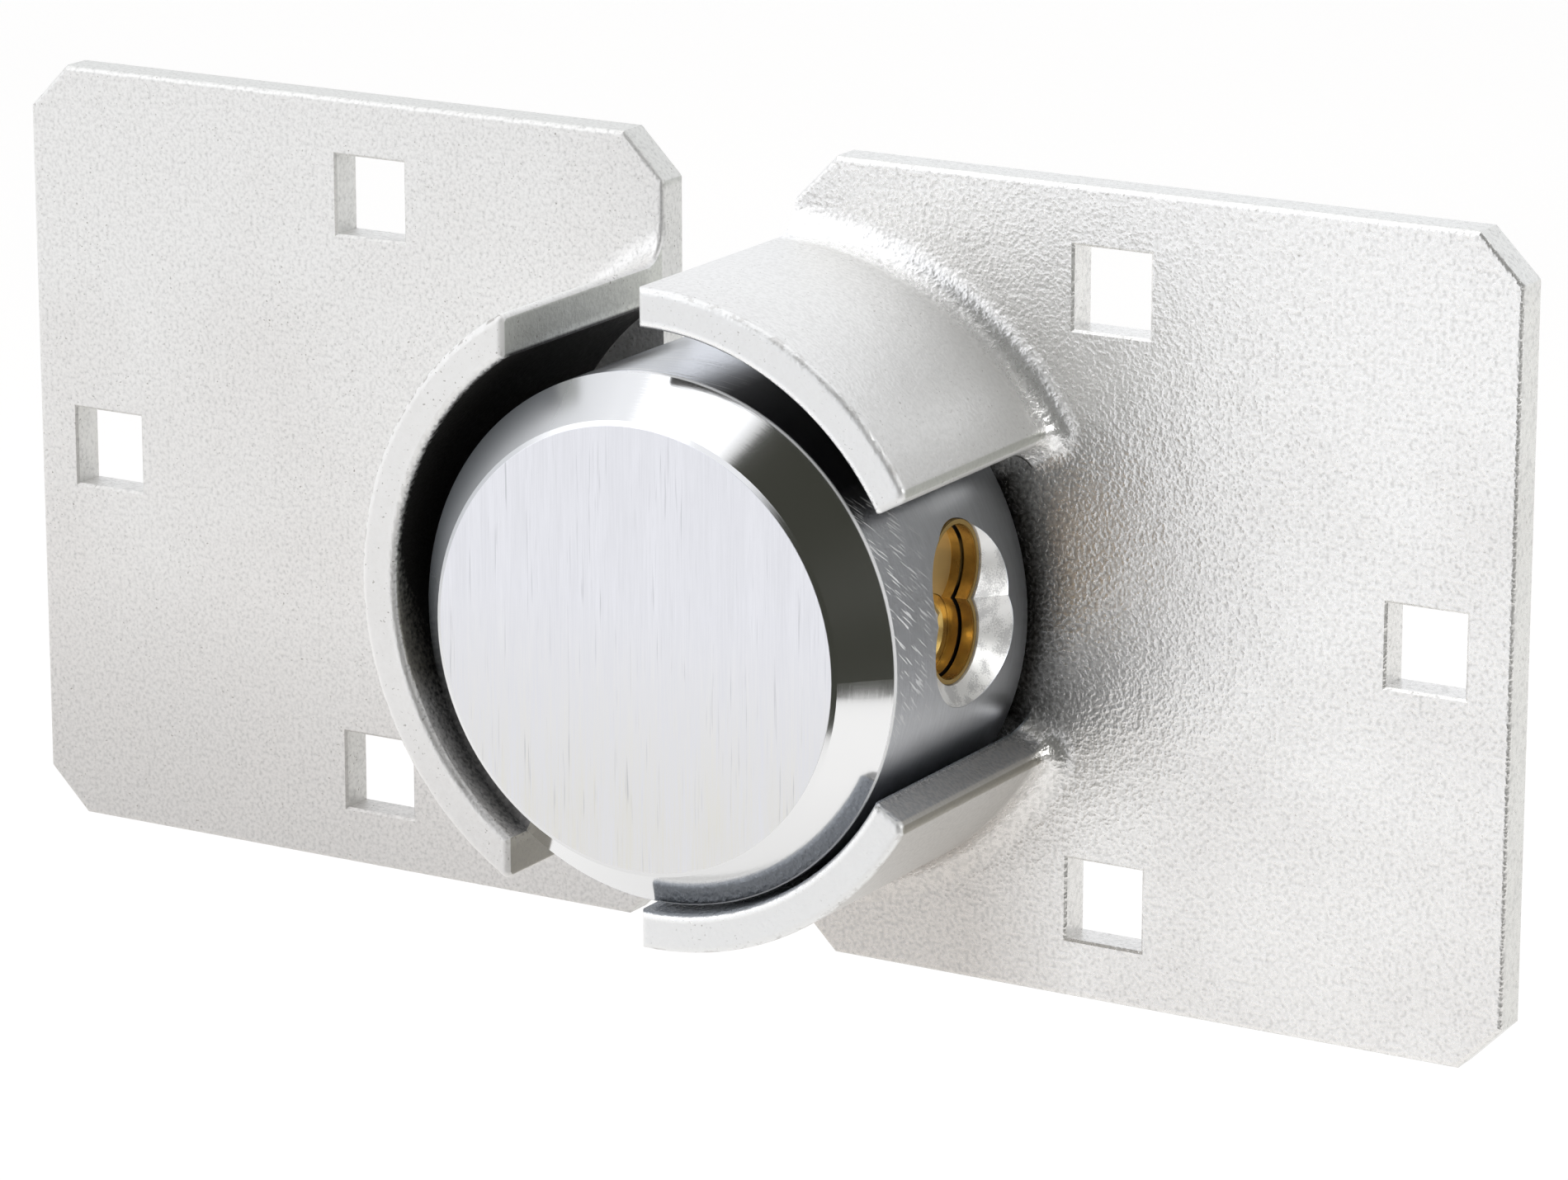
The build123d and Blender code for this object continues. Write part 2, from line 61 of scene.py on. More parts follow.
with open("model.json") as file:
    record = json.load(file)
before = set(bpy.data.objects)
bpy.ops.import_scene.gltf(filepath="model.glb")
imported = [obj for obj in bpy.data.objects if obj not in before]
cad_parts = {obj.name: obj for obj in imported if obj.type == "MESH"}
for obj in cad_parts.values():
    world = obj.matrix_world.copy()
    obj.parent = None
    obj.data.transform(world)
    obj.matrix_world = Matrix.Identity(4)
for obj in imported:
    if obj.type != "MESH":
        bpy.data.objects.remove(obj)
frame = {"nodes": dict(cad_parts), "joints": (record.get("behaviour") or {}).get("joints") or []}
CAD_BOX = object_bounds()
NODES = frame["nodes"]
MM = 0.001

# Body: its axis runs along Y, and its front is its lowest Y
BODY_LOW, BODY_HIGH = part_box("lock_body")
BODY_AXIS_Z = (BODY_LOW[2] + BODY_HIGH[2]) / 2
BODY_RADIUS = (BODY_HIGH[0] - BODY_LOW[0]) / 2
BODY_FRONT_Y = BODY_LOW[1]
BODY_BACK_Y = BODY_HIGH[1]
CHAMFER_DEPTH = 6.4 * MM
CHAMFER_BACK_Y = BODY_FRONT_Y + CHAMFER_DEPTH

# Hasps: flat plates, with guard walls on a ring round the origin
PLATE_FRONT_Y = -5.0 * MM
GUARD_INNER = 40.4 * MM
GUARD_OUTER = 45.9 * MM
GUARD_FRONT_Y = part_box("left_hasp")[0][1]
HOLE_ROWS_Z = 50 * MM
PLATE_MARGIN = 5 * MM

# Cylinder front: depths along X, from the plug's face out to the shell's rim
PLUG_FACE_X = 29.9 * MM
SEAM_BACK_X = 31.2 * MM
SEAM_FRONT_X = 31.64 * MM
STEP_X = 32.5 * MM
RIM_X = 33.4 * MM

PIN_LOW, PIN_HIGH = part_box("shackle_pin")
SHACKLE_Y = (PIN_LOW[1] + PIN_HIGH[1]) / 2
PIN_STACKS = range(1, 6)
PIN_SPRING_TURNS = 3.5
DOG_SPRING_TURNS = 4.5

# Floor: seen from above, its near edge runs aslant in front of the lock
FLOOR_CORNERS = ((-2.5, -1.78), (2.0, 0.06), (2.0, 3.0), (-2.5, 3.0))
SENSOR_WIDTH = 36.0


class Value:
    """A shader socket that holds a number; its operators add Math nodes."""

    def __init__(self, graph, socket):
        self.graph = graph
        self.socket = socket

    def math(self, operation, first, second=0.0):
        return self.graph.number("ShaderNodeMath", {"operation": operation}, {0: first, 1: second})

    def __add__(self, other):
        return self.math("ADD", self, other)

    def __radd__(self, other):
        return self.math("ADD", other, self)

    def __mul__(self, other):
        return self.math("MULTIPLY", self, other)

    def __rmul__(self, other):
        return self.math("MULTIPLY", other, self)

    def __sub__(self, other):
        return self.math("SUBTRACT", self, other)

    def __rsub__(self, other):
        return self.math("SUBTRACT", other, self)

    def __truediv__(self, other):
        return self.math("DIVIDE", self, other)

    def __rtruediv__(self, other):
        return self.math("DIVIDE", other, self)

    def __pow__(self, other):
        return self.math("POWER", self, other)

    def __rpow__(self, other):
        return self.math("POWER", other, self)

    def __abs__(self):
        return self.math("ABSOLUTE", self)

    def above(self, edge, soft):
        """0 below edge and 1 above it, turning over a width of soft."""
        return self.graph.ramp(self, edge - soft / 2, edge + soft / 2)

    def below(self, edge, soft):
        """1 below edge and 0 above it, turning over a width of soft."""
        return self.graph.ramp(self, edge + soft / 2, edge - soft / 2)


def distance(across, up):
    """How far a point is from an axis."""
    return (across * across + up * up) ** 0.5


def colour(values, share=1.0):
    """A shader colour, as a share of the colour given."""
    return (*(share * part for part in values), 1.0)


class Graph:
    """A node tree, with short ways to add the nodes that these finishes use."""

    def __init__(self, tree):
        self.tree = tree
        self.tree.nodes.clear()
        self.coordinates = self.node("ShaderNodeTexCoord", {}, {})

    def node(self, kind, settings, inputs):
        """Any node: its settings first, then the values or links of its sockets."""
        made = self.tree.nodes.new(kind)
        for name, value in settings.items():
            setattr(made, name, value)
        for key, value in inputs.items():
            socket = made.inputs[key]
            if isinstance(value, Value):
                value = value.socket
            if isinstance(value, bpy.types.NodeSocket):
                self.tree.links.new(value, socket)
            else:
                socket.default_value = value
        return made

    def number(self, kind, settings, inputs, output=0):
        return Value(self, self.node(kind, settings, inputs).outputs[output])

    def ramp(self, value, low, high, to_low=0.0, to_high=1.0):
        """value mapped from low..high to to_low..to_high, and held at the ends."""
        inputs = {"Value": value, "From Min": low, "From Max": high, "To Min": to_low, "To Max": to_high}
        return self.number("ShaderNodeMapRange", {"clamp": True}, inputs, "Result")

    def spread(self, noise, low=0.0, high=1.0):
        """A noise's usual range, 0.3 to 0.7, spread from low to high."""
        return self.ramp(noise, 0.3, 0.7, low, high)

    def axes(self, vector):
        """The three parts of a vector."""
        parts = self.node("ShaderNodeSeparateXYZ", {}, {0: vector})
        return [Value(self, parts.outputs[index]) for index in range(3)]

    def blend(self, factor, first, second):
        """Colours mixed by a factor."""
        made = self.node("ShaderNodeMix", {"data_type": "RGBA"}, {0: factor, 6: first, 7: second})
        return made.outputs[2]


class Surface(Graph):
    """A node-based material."""

    def __init__(self, name):
        self.material = bpy.data.materials.new(name)
        self.material.use_nodes = True
        super().__init__(self.material.node_tree)
        self.place = self.coordinates.outputs["Object"]
        self.facing = self.coordinates.outputs["Normal"]
        self.x, self.y, self.z = self.axes(self.place)

    def noise(self, size, detail=2.0, rough=0.5, place=None):
        """Smooth noise with lumps about size metres across."""
        inputs = {"Vector": place or self.place, "Scale": 1 / size, "Detail": detail, "Roughness": rough}
        return self.number("ShaderNodeTexNoise", {}, inputs, 0)

    def streaks(self, x, y, z, detail=2.0, rough=0.6):
        """Noise at a point that is counted in grains along each axis, so that it can run long."""
        grains = self.node("ShaderNodeCombineXYZ", {}, {0: x, 1: y, 2: z}).outputs[0]
        return self.noise(1.0, detail, rough, grains)

    def bump(self, height, depth, normal=None):
        """A normal from a height of 0 to 1 that stands depth metres tall."""
        inputs = {"Height": height, "Distance": depth, "Strength": 1.0}
        if normal:
            inputs["Normal"] = normal
        return self.node("ShaderNodeBump", {}, inputs).outputs[0]

    def metal(self, tone, rough, normal=None, metallic=1.0):
        inputs = {"Base Color": tone, "Metallic": metallic, "Roughness": rough}
        if normal:
            inputs["Normal"] = normal
        return self.node("ShaderNodeBsdfPrincipled", {}, inputs).outputs[0]

    def layer(self, factor, below, above):
        return self.node("ShaderNodeMixShader", {}, {0: factor, 1: below, 2: above}).outputs[0]

    def finish(self, shader, *nodes):
        """Ends the material in this shader and gives it to the named nodes."""
        self.node("ShaderNodeOutputMaterial", {}, {"Surface": shader})
        for name in nodes:
            slots = NODES[name].data.materials
            slots.clear()
            slots.append(self.material)


class HaspSettings(PropertyGroup):
    """Finish of the two forged hasps."""

    zinc: FloatVectorProperty(
        name="Zinc", description="Colour of the plating", subtype="COLOR", default=(0.86, 0.85, 0.83)
    )
    warm: FloatVectorProperty(
        name="Warm zinc", description="Colour of the plating where it is warmer", subtype="COLOR",
        default=(0.78, 0.755, 0.73),
    )
    # Darker, browner zinc low beside the body.
    low_zone_zinc: FloatVectorProperty(
        name="Stained zinc", description="Colour of the right plate low beside the body", subtype="COLOR",
        default=(0.58, 0.54, 0.50),
    )
    # Worn zinc on the guards' fronts, and a painted highlight on the upper root fillets.
    wear_and_highlight: FloatVectorProperty(
        name="Rubbed zinc", description="Colour of the guards' fronts and feet", subtype="COLOR",
        default=(1.0, 0.995, 0.985),
    )
    wall: FloatVectorProperty(
        name="Guard wall", description="Colour of the right guards' outer walls", subtype="COLOR",
        default=(0.70, 0.70, 0.69),
    )
    # Painted shade on the lower guard's outer wall.
    lower_wall_shade: FloatVectorProperty(
        name="Lower guard wall", description="Colour of the right lower guard's outer wall", subtype="COLOR",
        default=(0.53, 0.51, 0.48),
    )
    cut: FloatVectorProperty(
        name="Cut edge", description="Colour of the sheared edges", subtype="COLOR",
        default=(0.50, 0.51, 0.47),
    )
    upper_end: FloatVectorProperty(
        name="Upper end", description="Colour of the upper guard's end beside the key", subtype="COLOR",
        default=(0.60, 0.61, 0.56),
    )
    lower_end: FloatVectorProperty(
        name="Lower end", description="Colour of the lower guard's end beside the key", subtype="COLOR",
        default=(0.33, 0.31, 0.26),
    )
    slanting_end: FloatVectorProperty(
        name="Slanting end", description="Colour of the lower guard's slanting end", subtype="COLOR",
        default=(0.36, 0.365, 0.38),
    )
    # Painted shade: the guards' inner sides are coloured dark where shade falls.
    shaded: FloatVectorProperty(
        name="Inside", description="Colour of the guards' inner sides", subtype="COLOR",
        default=(0.055, 0.053, 0.05),
    )
    # Painted shade, less dark, on the left guard's inner side low down and deep.
    left_inside_shade_deep: FloatVectorProperty(
        name="Left inside", description="Colour of the left guard's inner side low and deep", subtype="COLOR",
        default=(0.30, 0.31, 0.33),
    )
    # Painted shade, lighter, on the right lower guard's inner side.
    right_inside_shade_low: FloatVectorProperty(
        name="Right inside", description="Colour of the right lower guard's inner side", subtype="COLOR",
        default=(0.32, 0.34, 0.37),
    )
    # Painted shade on the plate close to the body, in the grain's hollows.
    hollow: FloatVectorProperty(
        name="Hollows", description="Colour of the grain's hollows close to the body", subtype="COLOR",
        default=(0.018, 0.016, 0.013),
    )
    pit: FloatVectorProperty(
        name="Pits", description="Colour of the small pits and nicks", subtype="COLOR",
        default=(0.20, 0.17, 0.14),
    )
    fine_grain: FloatProperty(
        name="Fine grain", description="Size of the left hasp's grain", unit="LENGTH", default=0.55 * MM
    )
    coarse_grain: FloatProperty(
        name="Coarse grain", description="Size of the right hasp's grain", unit="LENGTH", default=0.62 * MM
    )
    fine_depth: FloatProperty(
        name="Fine depth", description="Height of the left hasp's grain", unit="LENGTH", default=0.10 * MM
    )
    coarse_depth: FloatProperty(
        name="Coarse depth", description="Height of the right hasp's grain", unit="LENGTH", default=0.15 * MM
    )


class BodySettings(PropertyGroup):
    """Finish of the turned steel body."""

    steel: FloatVectorProperty(
        name="Steel", description="Colour of the steel", subtype="COLOR", default=(0.80, 0.80, 0.83)
    )
    warm: FloatVectorProperty(
        name="Warm steel", description="Colour of the steel low on the face", subtype="COLOR",
        default=(0.72, 0.705, 0.65),
    )
    scored: FloatVectorProperty(
        name="Scored steel", description="Colour of the deep strokes on the face", subtype="COLOR",
        default=(0.45, 0.45, 0.47),
    )
    wall: FloatVectorProperty(
        name="Wall", description="Colour of the satin side wall", subtype="COLOR", default=(0.70, 0.72, 0.76)
    )
    # Painted shade on the wall under the guards.
    guard_shade: FloatVectorProperty(
        name="Guarded wall", description="Colour of the wall under the guards", subtype="COLOR",
        default=(0.12, 0.12, 0.13),
    )
    bright: FloatVectorProperty(
        name="Bright steel", description="Colour of the polished chamfer", subtype="COLOR",
        default=(0.79, 0.79, 0.79),
    )
    # Painted shade and dark reflection on the chamfer's upper left, beside the left guard.
    chamfer_shade: FloatVectorProperty(
        name="Smoked steel", description="Colour of the film on the chamfer's upper left", subtype="COLOR",
        default=(0.20, 0.22, 0.24),
    )
    # The scratches' own colour, and a painted highlight along the chamfer's back edge.
    worn: FloatVectorProperty(
        name="Worn steel", description="Colour of the worn edge and the scratches", subtype="COLOR",
        default=(0.9, 0.9, 0.9),
    )
    milled: FloatVectorProperty(
        name="Milled steel", description="Dull colour of the key opening's countersink", subtype="COLOR",
        default=(0.66, 0.66, 0.66),
    )
    milled_bright: FloatVectorProperty(
        name="Bright milled steel", description="Bright colour of the key opening's countersink",
        subtype="COLOR", default=(1.0, 1.0, 0.99),
    )
    brush: FloatProperty(
        name="Brush spacing", description="Spacing of the brushed lines", unit="LENGTH", default=0.30 * MM
    )


class CylinderSettings(PropertyGroup):
    """Finish of the brass cylinder."""

    brass: FloatVectorProperty(
        name="Brass", description="Colour of clean brass", subtype="COLOR", default=(0.86, 0.60, 0.20)
    )
    tarnish: FloatVectorProperty(
        name="Tarnish", description="Colour of dull brass", subtype="COLOR", default=(0.58, 0.39, 0.13)
    )
    dull: FloatVectorProperty(
        name="Dull brass", description="Colour of the flat front faces", subtype="COLOR",
        default=(0.66, 0.45, 0.18),
    )
    # Painted reflection: dark brown on the brass between the two lobes.
    dark_reflection_brown: FloatVectorProperty(
        name="Umber", description="Colour of the brass between the two lobes", subtype="COLOR",
        default=(0.28, 0.19, 0.06),
    )
    seam: FloatVectorProperty(
        name="Seam", description="Colour of the joint in the shell's hollow front", subtype="COLOR",
        default=(0.01, 0.008, 0.006),
    )


class SteelSettings(PropertyGroup):
    """Finish of the inner steel parts and the springs."""

    ground: FloatVectorProperty(
        name="Ground steel", description="Colour of hardened ground steel", subtype="COLOR",
        default=(0.46, 0.46, 0.47),
    )
    oxide: FloatVectorProperty(
        name="Black oxide", description="Colour of the screws", subtype="COLOR", default=(0.07, 0.07, 0.075)
    )
    drawn: FloatVectorProperty(
        name="Drawn wire", description="Dull colour of the spring wire", subtype="COLOR",
        default=(0.50, 0.50, 0.50),
    )
    drawn_bright: FloatVectorProperty(
        name="Bright drawn wire", description="Bright colour of the spring wire", subtype="COLOR",
        default=(0.68, 0.68, 0.68),
    )
    wire: FloatProperty(
        name="Pin spring wire", description="Wire radius of the pin springs", unit="LENGTH", default=0.16 * MM
    )
    dog_wire: FloatProperty(
        name="Dog spring wire", description="Wire radius of the dog spring", unit="LENGTH", default=0.2 * MM
    )
    coil_steps: IntProperty(
        name="Coil steps", description="Points for each turn of a spring", default=20, min=8
    )


class StudioSettings(PropertyGroup):
    """Floor, lights and camera."""

    floor_drop: FloatProperty(
        name="Floor drop", description="Distance of the floor below the lock", unit="LENGTH", default=0.30
    )
    floor: FloatVectorProperty(
        name="Floor", description="Colour of the floor", subtype="COLOR", default=(0.44, 0.44, 0.44)
    )
    floor_light: FloatVectorProperty(
        name="Light floor", description="Colour of the floor where it is lighter", subtype="COLOR",
        default=(0.46, 0.46, 0.46),
    )
    floor_glow: FloatVectorProperty(
        name="Floor glow", description="Colour of the floor's own light", subtype="COLOR",
        default=(1.0, 0.985, 0.96),
    )
    light_room: FloatVectorProperty(
        name="Light room", description="Colour of the room's light side", subtype="COLOR",
        default=(0.93, 0.945, 0.98),
    )
    dark_room: FloatVectorProperty(
        name="Dark room", description="Colour of the room's dark side", subtype="COLOR",
        default=(0.048, 0.049, 0.040),
    )
    azimuth: FloatProperty(
        name="Azimuth", description="Camera's angle to the right of straight on", subtype="ANGLE",
        default=math.radians(30.67),
    )
    elevation: FloatProperty(
        name="Elevation", description="Camera's angle above level", subtype="ANGLE",
        default=math.radians(15.29),
    )
    distance: FloatProperty(
        name="Distance", description="Distance from the camera to its aim", unit="LENGTH", default=0.90166
    )
    lens: FloatProperty(name="Lens", description="Focal length on a 36 mm sensor", default=148.48)
    aim: FloatVectorProperty(
        name="Aim", description="Point that the camera looks at", subtype="TRANSLATION",
        default=(-2.69 * MM, -5.0 * MM, -5.32 * MM),
    )


class HaspSkin(Surface):
    """Zinc plating over a forged skin; these values are the left hasp's, which is finer."""

    lump_detail = 2.5
    plating_share = 1.0
    warm_by_height = 0.5
    wear_and_highlight_share = 0.3
    cut_range = (0.8, 0.4)
    nick_share = 0.5
    low_grit = 0.10
    pit_share = 0.75
    calm_wall = 0.3
    rough_range = (0.56, 0.40)

    def __init__(self, name, settings, grain, depth):
        super().__init__(name)
        self.name = name
        self.settings = settings
        self.depth = depth
        self.radius = distance(self.x, self.z)
        self.lower = self.z.below(0.0, 10 * MM)
        self.mask_guards()
        self.mask_cuts()
        self.grow_grain(grain)

    def mask_guards(self):
        """Masks of the guards' feet, inner sides, walls, fronts, roots and outer brinks."""
        y, radius = self.y, self.radius
        self.foot = y.below(PLATE_FRONT_Y - 0.3 * MM, 0.4 * MM)
        within = radius.below(GUARD_INNER + 0.35 * MM, 0.3 * MM)
        self.inside = within * radius.above(GUARD_INNER - 0.5 * MM, 0.3 * MM) * self.foot
        outer = radius.above(GUARD_INNER + 1.0 * MM, 0.5 * MM)
        self.wall = y.below(PLATE_FRONT_Y - 4.5 * MM, 1.5 * MM) * outer
        self.front = y.below(GUARD_FRONT_Y + 0.8 * MM, 0.8 * MM)
        self.root = self.foot * radius.above(GUARD_INNER + 4.5 * MM, 1.0 * MM) * (1 - self.wall)
        rim = radius.above(GUARD_OUTER - 0.45 * MM, 0.2 * MM)
        self.brink = rim * y.below(GUARD_FRONT_Y + 1.2 * MM, 0.4 * MM)

    def mask_cuts(self):
        """Masks of the sheared edges, of the bolt holes' sides and of the guards' cut ends."""
        facing_x, facing_y, facing_z = self.axes(self.facing)
        low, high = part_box(self.name)
        edge_on = self.ramp(abs(facing_y), 0.85, 0.30)
        self.sheared = edge_on * self.y.above(PLATE_FRONT_Y - 0.2 * MM, 0.7 * MM)
        across = self.x.above(low[0] + PLATE_MARGIN, MM) * self.x.below(high[0] - PLATE_MARGIN, MM)
        self.holed = abs(self.z).below(HOLE_ROWS_Z, MM) * across
        self.cut_share = self.ramp(abs(facing_z), 0.3, 0.5, *self.cut_range)
        self.side_end = facing_x.above(0.93, 0.04) * self.foot
        slanting = facing_z.above(0.70, 0.1) * self.foot * self.z.below(-12 * MM, MM)
        self.slant_end = slanting * (1 - self.inside)

    def grow_grain(self, grain):
        """The forged lumps and the slow swells, blotches, pits and nicks."""
        self.lumps = self.noise(grain, self.lump_detail)
        self.leather = self.ramp(self.lumps, 0.38, 0.58)
        self.swell = self.noise(grain * 6, 1.0)
        self.blotch = self.noise(34 * MM, 3.0, 0.6)
        pitted = self.ramp(self.noise(7 * MM), 0.35, 0.65)
        self.pits = self.ramp(self.noise(0.45 * MM, 1.0), 0.68, 0.76) * pitted
        self.nicks = self.ramp(self.noise(1.6 * MM, 3.0, 0.7), 0.52, 0.60)

    def plate(self):
        """Clean zinc that turns warm in blotches and towards the bottom."""
        low = self.ramp(self.z, 30 * MM, -50 * MM)
        warm = self.ramp(self.blotch * 0.7 + low * self.warm_by_height, 0.35, 0.85)
        clean = colour(self.settings.zinc, self.plating_share)
        return self.blend(warm, clean, colour(self.settings.warm))

    def low_zone(self):
        """Mask of the plate's lower part, with a blotchy edge."""
        return self.ramp(self.z + self.blotch * 20 * MM, -8 * MM, -48 * MM)

    # Darker, warmer zinc in the plate's low zone.
    def darken_low_zone(self, plated, under):
        return self.blend(under * 0.85, plated, colour(self.settings.warm, 0.82))

    def dull_and_shade_walls(self, plated):
        """The left guard's outer wall stays as bright as its plate."""
        return plated

    def colour_cuts(self, plated):
        """Bare tones on the sheared edges, the nicked brinks and the guards' ends."""
        settings = self.settings
        cut = self.sheared * (1 - self.holed * 0.6) * self.cut_share
        plated = self.blend(cut, plated, colour(settings.cut))
        plated = self.blend(self.brink * self.nicks * self.nick_share, plated, colour(settings.pit))
        end_tone = self.blend(self.lower, colour(settings.upper_end), colour(settings.lower_end))
        plated = self.blend(self.side_end * 0.85, plated, end_tone)
        slant = self.slant_end * (1 - self.leather * 0.4)
        return self.blend(slant, plated, colour(settings.slanting_end))

    def colour_marks(self, plated, under):
        """Darker hollows of the grain, scattered dots and small pits."""
        settings = self.settings
        grit_share = 0.18 - self.wall * 0.06 - self.front * 0.14 + under * self.low_grit
        plated = self.blend((1 - self.leather) * grit_share, plated, colour(settings.zinc, 0.45))
        dots = self.ramp(self.lumps, 0.40, 0.30) * self.ramp(self.blotch, 0.3, 0.6, 0.1, 0.3)
        dots = dots * (1 - self.wall - self.front)
        plated = self.blend(dots, plated, colour(settings.zinc, 0.5))
        return self.blend(self.pits * self.pit_share, plated, colour(settings.pit))

    def shade_inside(self, plated):
        """Painted shade on the left guard's inner side: dark behind a bright, ragged front edge, and less
        dark low down and deep inside.
        """
        settings = self.settings
        reach = self.ramp(self.z, 5 * MM, -28 * MM, 1.5 * MM, 16 * MM)
        ragged = (self.noise(0.6 * MM) - 0.5) * 1.6
        depth_in = self.ramp((self.y - GUARD_FRONT_Y) / reach + ragged, 0.1, 0.9)
        deeper = self.y.above(GUARD_FRONT_Y + 12 * MM, 5 * MM)
        shade = self.blend(deeper * self.lower, colour(settings.shaded), colour(settings.left_inside_shade_deep))
        return self.blend(self.inside * depth_in, plated, shade)

    def dress(self):
        """Lays the tones on from the widest to the smallest, and raises the grain."""
        under = self.low_zone()
        plated = self.darken_low_zone(self.plate(), under)
        # Wear on the guards' fronts, and a painted highlight on the roots of the guards' upper halves.
        wear_and_highlight = (self.front + self.root * (1 - self.lower)) * self.wear_and_highlight_share
        plated = self.blend(wear_and_highlight, plated, colour(self.settings.wear_and_highlight))
        plated = self.colour_cuts(self.dull_and_shade_walls(plated))
        plated = self.shade_inside(self.colour_marks(plated, under))
        rough = self.spread(self.lumps, *self.rough_range) + self.wall * 0.14
        calm = self.wall * self.calm_wall + self.root * (1 - self.lower) * 0.4 + self.sheared * 0.7
        fine = self.bump(self.lumps * (1 - calm), self.depth)
        relief = self.bump(self.swell, self.depth * 0.8, fine)
        self.finish(self.metal(plated, rough, relief, metallic=0.72 - self.wall * 0.12), self.name)


class CoarseHaspSkin(HaspSkin):
    """The right hasp's skin: coarse lumps, duller guard walls with painted shade on the lower one, and
    painted shade in the grain beside the body.
    """

    lump_detail = 1.0
    plating_share = 1.13
    warm_by_height = 0.25
    wear_and_highlight_share = 1.0
    cut_range = (0.4, 0.4)
    nick_share = 0.25
    low_grit = 0.16
    pit_share = 0.55
    calm_wall = 0.5
    rough_range = (0.36, 0.24)

    def low_zone(self):
        """Mask of the plate below the guard and towards the body."""
        beside = self.z.below(-26 * MM, 14 * MM) * self.x.below(36 * MM, 18 * MM)
        return beside * (1 - self.wall) * (1 - self.front)

    # Darker, browner zinc below the guard and towards the body.
    def darken_low_zone(self, plated, under):
        return self.blend(under * 0.75, plated, colour(self.settings.low_zone_zinc))

    def dull_and_shade_walls(self, plated):
        """Both guard walls are duller than the plate; the lower one is darker still with painted shade."""
        settings = self.settings
        plated = self.blend(self.wall * 0.5, plated, colour(settings.wall))
        lower_wall_shade = self.wall * self.lower * 0.9 * (1 - self.front)
        return self.blend(lower_wall_shade, plated, colour(settings.lower_wall_shade))

    def shade_inside(self, plated):
        """Painted shade on the inner sides, lighter on the lower guard, and painted shade on the plate in the
        grain's hollows towards the body.
        """
        settings = self.settings
        # Painted shade on the inner sides, lighter on the lower guard.
        shade = self.blend(self.lower, colour(settings.shaded), colour(settings.right_inside_shade_low))
        plated = self.blend(self.inside, plated, shade)
        # Painted shade: the plate darkens towards the body, most in the grain's hollows.
        gap = distance(self.x, self.z - BODY_AXIS_Z) - BODY_RADIUS
        between = (abs(self.z + 1 * MM) - self.x * 0.6).below(0.0, 6 * MM)
        near = self.ramp(gap, 22 * MM, 0.0) ** 1.5 * 0.6 + self.ramp(gap, 7 * MM, 1 * MM) * 0.4
        on_front = self.y.above(PLATE_FRONT_Y - MM, MM) * self.y.below(PLATE_FRONT_Y + MM, MM)
        near = near * between * on_front
        body_shade_share = near * (1 - self.leather * (0.90 - near * 0.85))
        return self.blend(body_shade_share, plated, colour(settings.hollow))


class LOCK_OT_finish_hasps(Operator):
    """Plates the two forged hasps"""

    bl_idname = "lock.finish_hasps"
    bl_label = "Finish hasps"

    def execute(self, context):
        settings = context.scene.lock_hasps
        HaspSkin("left_hasp", settings, settings.fine_grain, settings.fine_depth).dress()
        CoarseHaspSkin("right_hasp", settings, settings.coarse_grain, settings.coarse_depth).dress()
        return {"FINISHED"}


